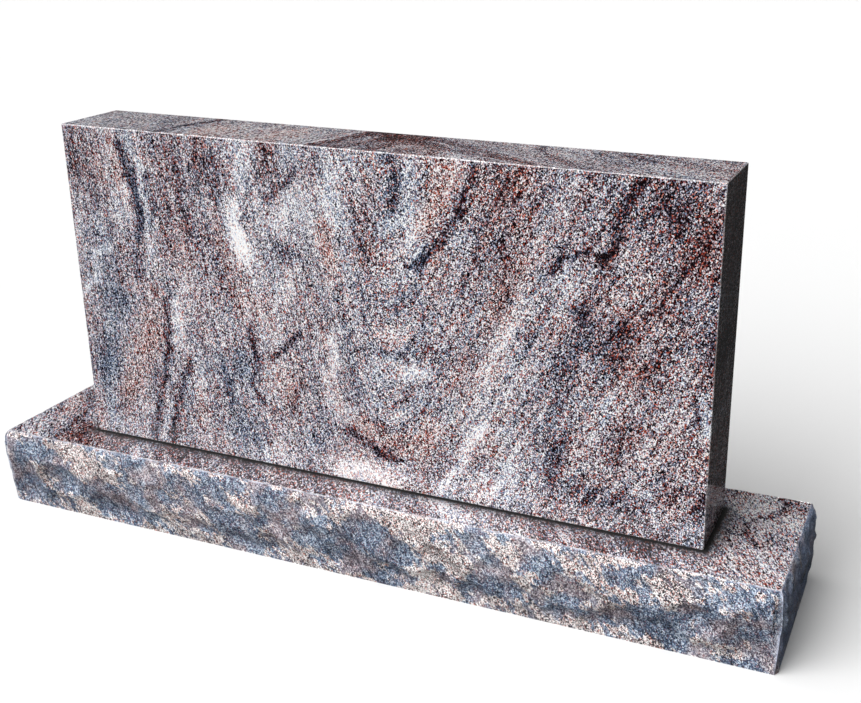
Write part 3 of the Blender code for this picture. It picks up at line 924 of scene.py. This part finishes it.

# %% [markdown]
# The polished top is one more grid, with as many columns as the front and as many rows as the
# ends, so that its border points are the top points of the rock faces. The underside is never
# seen, and is one flat face around the whole foot.
#
# The top has veins of its own. Its edge and the upright corners are bruised pale by the pitching, and
# painted shade darkens the top round the die's foot. Both are numbers at each point too.

# %% Veins of the base's top, and the joint
# In mm across from the left end and back from the front edge
BASE_TOP_VEINS = (
    (26, 0.5, 0.1, 20, 60, 50, 20),
    (6, -1.2, 0.0, 72, 170, 88, 100, 108, 5),
    (22, -0.5, 1.0, 125, 75, 140, 5),
    (20, -0.7, 0.9, 175, 60, 190, 0),
    (18, -0.8, 0.7, 225, 60, 240, 0),
    (5, -1.2, 0.0, 258, 60, 270, 0),
    (10, 0.8, 0.0, 296, 45, 304, 0),
    (22, -0.6, 0.6, 340, 60, 352, 0),
    (5, -1.1, 0.0, 390, 60, 396, 0),
    (22, -0.5, 0.6, 425, 60, 440, 0),
    (5, -0.9, 0.0, 470, 60, 476, 10),
    (26, -0.4, 0.3, 510, 60, 540, 0),
    (26, -0.1, 0.5, 600, 60, 650, 10),
    (30, 0.3, 0.9, 720, 55, 765, 15),
    (12, 1.1, -0.5, 798, 40, 812, 0),
    (14, -0.5, -0.3, 838, 60, 842, 0),
    (30, 0.9, -0.1, 890, 50, 985, 20),
    (26, 0.5, 0.1, 1040, 50, 1080, 10),
    (8, -0.7, 0.0, 1120, 60, 1128, 0),
    (10, 0.6, -0.2, 1150, 50, 1165, 0),
    (8, -0.5, 0.1, 1205, 60, 1214, 0),
    (12, -0.3, 0.3, 1290, 60, 1300, 0),
    (20, -0.4, 0.7, 30, 290, 60, 225),
    (7, -1.2, -0.2, 0, 288, 50, 205, 100, 150, 150, 100),
    (8, 0.7, -0.7, 22, 300, 80, 210, 130, 160),
    (7, -1.0, 0.2, 70, 300, 120, 220, 160, 170),
    (16, 0.3, 0.8, 8, 190, 40, 120),
    (9, -1.2, 0.3, 1468, 300, 1480, 255, 1462, 222),
    (5, -1.3, 0.1, 1462, 224, 1440, 212, 1431, 180, 1438, 145, 1452, 118),
    (8, -0.8, 0.1, 1478, 152, 1500, 126),
    (34, 0.9, 0.1, 1410, 262, 1440, 240, 1510, 196),
    (24, 0.3, 0.2, 1430, 130, 1480, 90),
    (26, 0.1, 0.7, 1420, 60, 1480, 30),
)
# Painted shade stands in for the contact shadow. It darkens the top round the die's foot and is nearly
# black at the joint. The darkness falls to a third over this distance
FOOT_SHADE_FADE = 12 * MM
FOOT_SHADE_DARK = 1.5
# The base's bands run back to the left and down to the right by these slopes, and waver by so
# many mm. A rate below 1 makes them wider than the die's
BAND_SLANT = 0.85
BAND_LEAN = 0.6
BAND_WAVE = 30
BAND_WAVE_SIZE = 130
BAND_RATE = 0.8
# The top is darker than its bands alone make it. Its right and left ends are so much paler again, from and
# to a place across in mm. At the right, beside the die, this is painted light that makes up for the die's
# shadow there.
TOP_TONE = -0.40
RIGHT_WING_PAINTED_LIGHT = (0.48, 1380, 1420)
LEFT_WING = (0.25, 150, 90)
# The rock of the right end, which is in shade, is painted paler too, as painted light, from so many mm past
# the polished edge
RIGHT_END_PAINTED_LIGHT = 0.7
PAST_EDGE = 3
# How pale the bruised top edge and upright corners are: a plain amount, and the noise in it
EDGE_BRUISE = (0.5, 0.5)
CORNER_BRUISE = (0.45, 0.3)
EDGE_NOISE_SIZE = 14 * MM
# Further back than so many mm, the top edge is bruised by only this share of that
FRONT_STRIP = 5
SIDE_EDGE_SHARE = 0.3
# Where faces meet at more than this angle, the edge is shaded sharp
SHARP_ANGLE = math.radians(40)
print(len(BASE_TOP_VEINS), "veins on the base's top")

# %% [markdown]
# The grid of the top is a patch between its four edges: the blend from front to back, plus the
# blend from left to right, less the blend of the four corners, which would count twice.

# %% Make the base
corners = np.cumsum([0] + counts)
rim = rock[:, -1]
front, right, back, left = (rim[start : end + 1] for start, end in zip(corners, corners[1:]))
back, left = back[::-1], left[::-1]
s = np.linspace(0, 1, len(front))[:, None, None]
t = np.linspace(0, 1, len(right))[None, :, None]
top = (1 - t) * front[:, None] + t * back[:, None] + (1 - s) * left[None] + s * right[None]
top -= (1 - s) * (1 - t) * front[0] + s * (1 - t) * front[-1] + (1 - s) * t * back[0] + s * t * back[-1]

base_points, base_quads, became = weld([rock, top])
rock_points = became[: rock_bruise.size].reshape(rock_bruise.shape)
underside = rock_points[:-1, 0][::-1]
faces = base_quads.tolist() + [underside.tolist()]
bruise = np.zeros(len(base_points))
bruise[rock_points] = rock_bruise

across = (base_points[:, 0] + BASE_LENGTH / 2) / MM
deep = (base_points[:, 1] + BASE_DEPTH / 2) / MM
up = base_points[:, 2] / MM
base_fold = across + BAND_SLANT * deep - BAND_LEAN * (BASE_HEIGHT / MM - up)
base_fold += BAND_WAVE * noise(np.stack([across, deep, up], axis=-1), BAND_WAVE_SIZE, seed=23)
base_tone, base_blush = bands(base_fold * BAND_RATE, across, up, deep)
top_tone, top_blush = add_veins(BASE_TOP_VEINS, across, deep, wobble=4.0)
# Half a mm takes in every point of the flat top
on_top = up > BASE_HEIGHT / MM - 0.5
# Painted light: the right wing beside the die is made paler against the die's shadow
wings = sum(paler * ramp(across, start, end) for paler, start, end in (RIGHT_WING_PAINTED_LIGHT, LEFT_WING))
base_tone += (VEIN_SHARE * top_tone + TOP_TONE + wings) * on_top
base_blush += VEIN_SHARE * top_blush * on_top
beside_die = np.abs(base_points[:, :2] - (die_low + die_high)[:2] / 2) - half_die[:2]
beside_die = np.maximum(beside_die, 0)
# Painted shade: the top darkens towards the die's foot as a contact shadow would, and is nearly black at
# the joint
joint = on_top * np.clip(FOOT_SHADE_DARK * np.exp(-np.hypot(*beside_die.T) / FOOT_SHADE_FADE), 0, 1)
edge = np.zeros(len(base_points))
rim_points = rock_points[:, -1]
edge[rim_points] = EDGE_BRUISE[0] + EDGE_BRUISE[1] * noise(base_points[rim_points], EDGE_NOISE_SIZE, 27)
edge *= np.where(deep < FRONT_STRIP, 1.0, SIDE_EDGE_SHARE)
upright = rock_points[corners[:-1]]
edge[upright] = CORNER_BRUISE[0] + CORNER_BRUISE[1] * noise(base_points[upright], EDGE_NOISE_SIZE, 29)
# Painted light: the right end's rock, which is in shade, is made paler
base_tone = soft_limit(base_tone + RIGHT_END_PAINTED_LIGHT * (across > BASE_LENGTH / MM + PAST_EDGE))
base_pattern = {"tone": base_tone, "blush": base_blush, "fold": base_fold}
base_pattern.update(bruise=bruise, joint=joint, edge=edge)
base = add_piece("rock_pitched_base", base_points, faces, base_pattern)
base.data.set_sharp_from_angle(angle=SHARP_ANGLE)

# %% [markdown]
# ## Materials: helpers
#
# Colours are written as the hex values that a paint program shows, and turned into the linear
# values that light adds up in. One helper adds any node with its settings, values and links, and
# gives the output that the next node takes. So a material reads in the order that it is worked
# out, from the place of a point to its shader.

# %% Helpers for materials
def linear(hex_colour):
    """A hex colour as linear red, green, blue and alpha."""
    srgb = np.array([int(hex_colour[i : i + 2], 16) for i in (1, 3, 5)]) / 255
    return (*np.where(srgb <= 0.04045, srgb / 12.92, ((srgb + 0.055) / 1.055) ** 2.4), 1.0)


def add_node(tree, kind, *values, out=0, **named):
    """Adds a node, sets it and fills its inputs, and gives one of its outputs.

    Plain values fill the inputs that the node shows, in order. A name in small letters is a
    setting, and a name with a capital is an input, with _ for a space. Outputs get linked."""
    node = tree.nodes.new("ShaderNode" + kind)
    for name in [name for name in named if name.islower()]:
        setattr(node, name, named.pop(name))
    filled = list(zip([socket for socket in node.inputs if socket.enabled], values))
    filled += [(node.inputs[name.replace("_", " ")], value) for name, value in named.items()]
    for socket, value in filled:
        if isinstance(value, bpy.types.NodeSocket):
            tree.links.new(value, socket)
        else:
            socket.default_value = value
    shown = [socket for socket in node.outputs if socket.enabled]
    return node.outputs[out] if isinstance(out, str) else shown[out] if shown else None


def fill_ramp(ramp_output, stops):
    """Sets a colour ramp's stops, given as (place, hex colour), and gives its output again."""
    elements = ramp_output.node.color_ramp.elements
    while len(elements) > 1:
        elements.remove(elements[-1])
    for i, (place, hex_colour) in enumerate(stops):
        element = elements[0] if i == 0 else elements.new(place)
        element.position = place
        element.color = linear(hex_colour)
    return ramp_output


def new_material(name):
    """An empty material and its node tree."""
    material = bpy.data.materials.new(name)
    material.use_nodes = True
    material.node_tree.nodes.clear()
    return material, material.node_tree


def add_shader(material, **values):
    """The shader with its values, and the output that it goes to."""
    tree = material.node_tree
    add_node(tree, "OutputMaterial", Surface=add_node(tree, "BsdfPrincipled", **values))
    print(material.name, "with", len(tree.nodes), "nodes")


# %% [markdown]
# ## Crystals
#
# Granite is a mosaic of crystals two or three mm across: white and pink feldspar, grey glassy
# quartz and black mica. A Voronoi texture fills space with such cells and gives each a random
# colour, whose three channels decide three things here: how light the crystal is, whether it is
# pink, and whether it is slate blue. Each kind has a colour ramp from its darkest crystals to
# its lightest. Tone and blush shift the odds, so a vein is drawn by crystals and frays as a real
# one does.
#
# Streaks finer than the mesh come from shader noise that changes fast with the fold's
# coordinate. The cells take the same coordinate as a fourth dimension, which presses them flat
# along the bands. Smaller cells sprinkle black mica over everything.

# %% Crystals
CRYSTAL = 2.2 * MM
MICA = 1.5 * MM
CLUMP = 7 * MM
FINE_STREAK = 5 * MM
# Streaks change so many times a metre along the bands
ALONG_STREAKS = (12, 12, 12)
JITTER = 0.35
PRESSED_FLAT = 0.8
# How light a crystal is: its chance times the spread, and then so much tone, streak and clump.
# Both noises are about 0.5, so the last number takes their means off again
LIGHT_SPREAD, LIGHT_START = 1.15, -0.09
TONE_LIGHT, STREAK_LIGHT, CLUMP_LIGHT = 0.4, 0.8, 0.7
LIGHT_OFF = 0.745
MAUVE_SHARE = 0.45
# Odds of a blue, a pink and a mica crystal: a plain share, and what blush or tone, then streaks, add
BLUE_ODDS = (0.62, -0.42, -0.6)
PINK_ODDS = (-0.13, 0.16, 0.6)
MICA_ODDS = (0.09, -0.10)
MICA_BLACK = "#12070a"
GREY_STONE = ((0.0, "#040206"), (0.14, "#21151b"), (0.3, "#574650"), (0.45, "#8e7f8b"),
              (0.62, "#c2b9c6"), (0.8, "#efedf6"), (1.0, "#ffffff"))
PINK_STONE = ((0.0, "#180506"), (0.15, "#571713"), (0.38, "#a8402f"), (0.6, "#cf7a66"),
              (0.82, "#e6c3ba"), (1.0, "#f9efec"))
MAUVE_STONE = ((0.0, "#0a0204"), (0.14, "#2f1719"), (0.3, "#67494d"), (0.45, "#a08284"),
               (0.62, "#d0b8b8"), (0.8, "#f3e8e9"), (1.0, "#ffffff"))
BLUE_STONE = ((0.0, "#04050b"), (0.14, "#20263a"), (0.4, "#61718f"), (0.66, "#a8b6d0"),
              (0.88, "#e6edf5"), (1.0, "#ffffff"))


def crystals(tree, crystal, squeeze=(1, 1, 1)):
    """Colour and lightness of crystals of one size, where mica and pink ones are, and the place.

    They follow the mesh's tone, blush and fold. An axis squeezed to half makes them twice as long."""
    place = add_node(tree, "TexCoord", out="Object")
    tone, blush, fold = (
        add_node(tree, "Attribute", attribute_name=name, out="Fac") for name in ("tone", "blush", "fold")
    )
    # Streaks too fine for the mesh. The fold's coordinate is in mm
    apart = add_node(tree, "CombineXYZ", fold)
    apart = add_node(tree, "VectorMath", apart, Scale=MM / FINE_STREAK, operation="SCALE")
    apart = add_node(tree, "VectorMath", place, ALONG_STREAKS, apart, operation="MULTIPLY_ADD")
    streak = add_node(tree, "TexNoise", apart, Scale=1.0, Detail=2.0, out="Color")
    streak = add_node(tree, "SeparateColor", streak).node.outputs
    clump = add_node(tree, "TexNoise", place, Scale=1 / CLUMP, Detail=2.0)

    # Cells, with their borders moved about by noise
    moved = add_node(tree, "TexNoise", place, Scale=1 / crystal, Detail=1.0, out="Color")
    moved = add_node(tree, "VectorMath", moved, (JITTER * crystal,) * 3, place, operation="MULTIPLY_ADD")
    moved = add_node(tree, "VectorMath", moved, squeeze, operation="MULTIPLY")
    pressed = add_node(tree, "Math", fold, PRESSED_FLAT * MM, operation="MULTIPLY")
    cell = add_node(tree, "TexVoronoi", voronoi_dimensions="4D", Vector=moved, W=pressed,
                    Scale=1 / crystal, out="Color")
    chance = add_node(tree, "SeparateColor", cell).node.outputs

    light = add_node(tree, "Math", chance["Red"], LIGHT_SPREAD, LIGHT_START, operation="MULTIPLY_ADD")
    for source, amount in ((tone, TONE_LIGHT), (streak["Red"], STREAK_LIGHT), (clump, CLUMP_LIGHT)):
        light = add_node(tree, "Math", source, amount, light, operation="MULTIPLY_ADD")
    light = add_node(tree, "Math", light, LIGHT_OFF, operation="SUBTRACT", use_clamp=True)

    grey, mauve, pink, blue = (
        fill_ramp(add_node(tree, "ValToRGB", light), stops)
        for stops in (GREY_STONE, MAUVE_STONE, PINK_STONE, BLUE_STONE)
    )
    tint = add_node(tree, "Math", blush, MAUVE_SHARE, operation="MULTIPLY", use_clamp=True)
    colour = add_node(tree, "Mix", tint, grey, mauve, data_type="RGBA")
    for kind, channel, odds_of in ((blue, "Blue", BLUE_ODDS), (pink, "Green", PINK_ODDS)):
        plain, by_blush, by_streak = odds_of
        odds = add_node(tree, "Math", blush, by_blush, plain, operation="MULTIPLY_ADD")
        odds = add_node(tree, "Math", streak["Green"], by_streak, odds, operation="MULTIPLY_ADD")
        chosen = add_node(tree, "Math", chance[channel], odds, operation="LESS_THAN")
        colour = add_node(tree, "Mix", chosen, colour, kind, data_type="RGBA")

    fleck = add_node(tree, "TexVoronoi", Vector=place, Scale=1 / MICA, out="Color")
    fleck = add_node(tree, "SeparateColor", fleck)
    plain, by_tone = MICA_ODDS
    odds = add_node(tree, "Math", tone, by_tone, plain, operation="MULTIPLY_ADD")
    mica = add_node(tree, "Math", fleck, odds, operation="LESS_THAN")
    colour = add_node(tree, "Mix", mica, colour, linear(MICA_BLACK), data_type="RGBA")
    return colour, light, mica, chosen, place


print("crystals", CRYSTAL / MM, "mm, mica", MICA / MM, "mm")

# %% [markdown]
# ## Two finishes
#
# Felt and tin oxide leave granite as smooth as glass, so it mirrors at a low angle and shows its crystals
# clearly from straight on. Mica polishes less well and is a little rougher. Along the die's arris a painted
# highlight makes the stone paler, and the base's bruised top edge is pale too. Round the die's foot,
# painted shade makes the top dark, and it is duller there.

# %% Polished granite
# Quartz and feldspar have an IOR of about 1.54
GRANITE_IOR = 1.54
POLISH_ROUGHNESS = 0.05
MICA_ROUGHER = 0.12


def polished_granite(name, squeeze):
    """Granite under a polish: crystals, a pale edge, and painted shade round the die's foot. The pale edge
    is a painted highlight on the die's arris and bruising on the base's top edge.
    """
    material, tree = new_material(name)
    colour, _, mica, _, _ = crystals(tree, CRYSTAL, squeeze)
    # The pale mix is a painted highlight on the die's arris and bruising on the base's top edge. The
    # near-black mix is painted shade round the die's foot
    for label, over in (("edge", "#f4f0f0"), ("joint", "#060505")):
        amount = add_node(tree, "Attribute", attribute_name=label, out="Fac")
        colour = add_node(tree, "Mix", amount, colour, linear(over), data_type="RGBA")
    # The last amount is that of the painted shade round the die's foot
    rough = add_node(tree, "Math", mica, MICA_ROUGHER, POLISH_ROUGHNESS, operation="MULTIPLY_ADD")
    rough = add_node(tree, "Math", rough, amount, operation="MAXIMUM")
    add_shader(material, Base_Color=colour, Roughness=rough, IOR=GRANITE_IOR)
    return material


polished = polished_granite("polished_granite", squeeze=(1.2, 0.5, 0.95))
# The base is cut the other way from the quarry's block, so its top shows its crystals lengthwise
polished_top = polished_granite("polished_granite_of_top", squeeze=(0.9, 0.36, 1))

# %% [markdown]
# Broken granite scatters light in every direction. Where it broke cleanly its crystals show slate blue,
# with mauve stains, and where the chisel crushed it, it is powdery cream. The right end, which is in shade,
# is painted towards plain blue as painted bluish shade. The bruise that the mesh carries is only coarse, so
# flaky noise is added to it before a steep step turns the sum into slate or cream with a crisp, ragged
# border. Pink crystals and mica show through.

# %% Rock-pitched granite
FINE_CRYSTAL = 2.0 * MM
FLAKE = 10 * MM
# Flakes lean down to the right: the noise is turned by this angle and drawn out by this factor
FLAKE_LEAN = math.radians(38)
FLAKE_STRETCH = 2.2
FRAYING = 2.0
# The noise is about 0.5, so a sum of bruise and frayed noise has its middle at 1.5
CRISP_STEP = (1.46, 1.54)
STAIN = 45 * MM
STAIN_STEP = (0.47, 0.62)
# The right end is in shade and turns towards plain blue as painted bluish shade: from and to a bruise, from
# and to a share
SHADE_BLUE_STEP = (-0.5, -0.9, 0, 0.55)
PAINTED_SHADE_BLUE = "#a6bdec"
EDGE_PALE = "#d6dcee"
# How much the crystals' own colour shows: pink ones, others, and all of them in slate
PINK_SHOWS, REST_SHOWS, SLATE_SHOWS = 0.62, 0.18, 0.4
GRIT = 2.2 * MM
GRIT_HEIGHT = 0.9 * MM
FLAKE_HEIGHT = 3.5 * MM
BROKEN_ROUGHNESS = 0.75
SLATE = ((0.0, "#131928"), (0.25, "#2c3b54"), (0.5, "#4a617f"), (0.75, "#7188a4"), (1.0, "#ccd9e8"))
CREAM = ((0.0, "#100f17"), (0.18, "#322d38"), (0.35, "#9c8a8a"), (0.48, "#f1ded8"), (0.85, "#fffdfc"))
MAUVE = ((0.0, "#2b262e"), (0.25, "#564e5a"), (0.5, "#7c7380"), (0.75, "#a0979f"), (1.0, "#d8d2d8"))

pitched, tree = new_material("rock_pitched_granite")
colour, light, mica, pink_here, place = crystals(tree, FINE_CRYSTAL)
bruise_here, edge_here = (
    add_node(tree, "Attribute", attribute_name=name, out="Fac") for name in ("bruise", "edge")
)
flake = add_node(tree, "Mapping", place, vector_type="TEXTURE", Rotation=(0, FLAKE_LEAN, 0),
                 Scale=(FLAKE_STRETCH, 1, 1))
flake = add_node(tree, "TexNoise", flake, Scale=1 / FLAKE, Detail=3.0, Roughness=0.62)
frayed = add_node(tree, "Math", flake, FRAYING, bruise_here, operation="MULTIPLY_ADD")
bruised = add_node(tree, "MapRange", frayed, *CRISP_STEP, clamp=True)
slate, cream, mauve = (
    fill_ramp(add_node(tree, "ValToRGB", light), stops) for stops in (SLATE, CREAM, MAUVE)
)
stained = add_node(tree, "TexNoise", place, Scale=1 / STAIN, Detail=2.0)
stained = add_node(tree, "MapRange", stained, *STAIN_STEP, clamp=True)
# Painted bluish shade on the right end, which is in shade
shade_blue = add_node(tree, "MapRange", bruise_here, *SHADE_BLUE_STEP, clamp=True)
slate = add_node(tree, "Mix", stained, slate, mauve, data_type="RGBA")
slate = add_node(tree, "Mix", shade_blue, slate, linear(PAINTED_SHADE_BLUE), data_type="RGBA")
worn = add_node(tree, "Mix", bruised, slate, cream, data_type="RGBA")
shows = add_node(tree, "Math", pink_here, PINK_SHOWS, REST_SHOWS, operation="MULTIPLY_ADD")
shows = add_node(tree, "Math", shows, mica, operation="MAXIMUM")
less = add_node(tree, "Math", bruised, 1 - SLATE_SHOWS, SLATE_SHOWS, operation="MULTIPLY_ADD")
shows = add_node(tree, "Math", shows, less, operation="MULTIPLY")
colour = add_node(tree, "Mix", shows, worn, colour, data_type="RGBA")
colour = add_node(tree, "Mix", edge_here, colour, linear(EDGE_PALE), data_type="RGBA")
grit = add_node(tree, "TexNoise", place, Scale=1 / GRIT, Detail=3.0)
bump = add_node(tree, "Bump", Strength=0.8, Distance=FLAKE_HEIGHT, Height=flake)
bump = add_node(tree, "Bump", Strength=0.9, Distance=GRIT_HEIGHT, Height=grit, Normal=bump)
add_shader(pitched, Base_Color=colour, Roughness=BROKEN_ROUGHNESS, IOR=GRANITE_IOR, Normal=bump)

# %% [markdown]
# Each block gets its materials. The base has two: its first quads are the rock faces, then come
# those of the top, and the underside is the last face. The dressed pieces then ride the packed
# body and replace the plain solids.

# %% Put the materials on
die.data.materials.append(polished)
base.data.materials.append(pitched)
base.data.materials.append(polished_top)
first_top = (rock.shape[0] - 1) * (rock.shape[1] - 1)
on_top = np.zeros(len(base.data.polygons), dtype=np.int32)
on_top[first_top:-1] = 1
base.data.polygons.foreach_set("material_index", on_top)
for piece, node, slot in ((die, "die", "polished_granite"), (base, "base", "rock_faced_granite")):
    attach(piece, "root")
    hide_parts(node)
print(on_top.sum(), "polished faces on the base of", len(on_top))

# %% [markdown]
# ## Floor and light
#
# A white floor that runs on past the picture, as in a product studio. One large soft light comes
# low from the front left and throws the shadow to the back right. A second, softer one comes from
# above for the polished tops. Two weak ones reach the front's hollows and the back. The right end
# gets almost none of them and stays dark. The floor shows to the camera alone, so that it doesn't
# fill that dark end with light from below.

# %% Floor, lights and sky
FLOOR = ((-40, -40, 0), (40, -40, 0), (40, 60, 0), (-40, 60, 0))
# Name, direction that it shines in, strength in watts a square metre, and spread in degrees
SUNS = (
    ("key", (0.505, 0.656, -0.561), 1.88, 51),
    ("from_above", (0.373, 0.578, -1.0), 2.60, 75),
    ("front_fill", (0.15, 1.0, -0.25), 0.60, 34),
    ("back_fill", (0.0, -1.0, -0.08), 0.50, 12),
)
SKY = 0.035

floor_mesh = bpy.data.meshes.new("floor")
floor_mesh.from_pydata(FLOOR, [], [(0, 1, 2, 3)])
floor = bpy.data.objects.new("floor", floor_mesh)
bpy.context.scene.collection.objects.link(floor)
paper, tree = new_material("white_studio_paper")
add_shader(paper, Base_Color=linear("#f5f5f5"), Roughness=1.0, Specular_IOR_Level=0.0)
floor_mesh.materials.append(paper)
floor.visible_glossy = False
floor.visible_diffuse = False
floor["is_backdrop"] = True

for name, towards, strength, spread in SUNS:
    sun = bpy.data.lights.new(name, "SUN")
    sun.energy = strength
    sun.angle = math.radians(spread)
    sun_object = bpy.data.objects.new(name, sun)
    sun_object.rotation_euler = Vector(towards).to_track_quat("-Z", "Y").to_euler()
    bpy.context.scene.collection.objects.link(sun_object)

world = bpy.data.worlds.new("studio")
bpy.context.scene.world = world
world.use_nodes = True
world.node_tree.nodes["Background"].inputs["Color"].default_value = linear("#ffffff")
world.node_tree.nodes["Background"].inputs["Strength"].default_value = SKY
bpy.context.scene.view_settings.view_transform = "Standard"
print(len(SUNS), "lights")

# %% [markdown]
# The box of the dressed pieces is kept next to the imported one, to show that they agree.

# %% Sizes, then the last line
visual_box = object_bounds()
for side, cad, visual in zip(("lowest", "highest"), cad_box, visual_box):
    print(side, "corner moved by", [round((v - c) / MM, 1) for c, v in zip(cad, visual)], "mm")
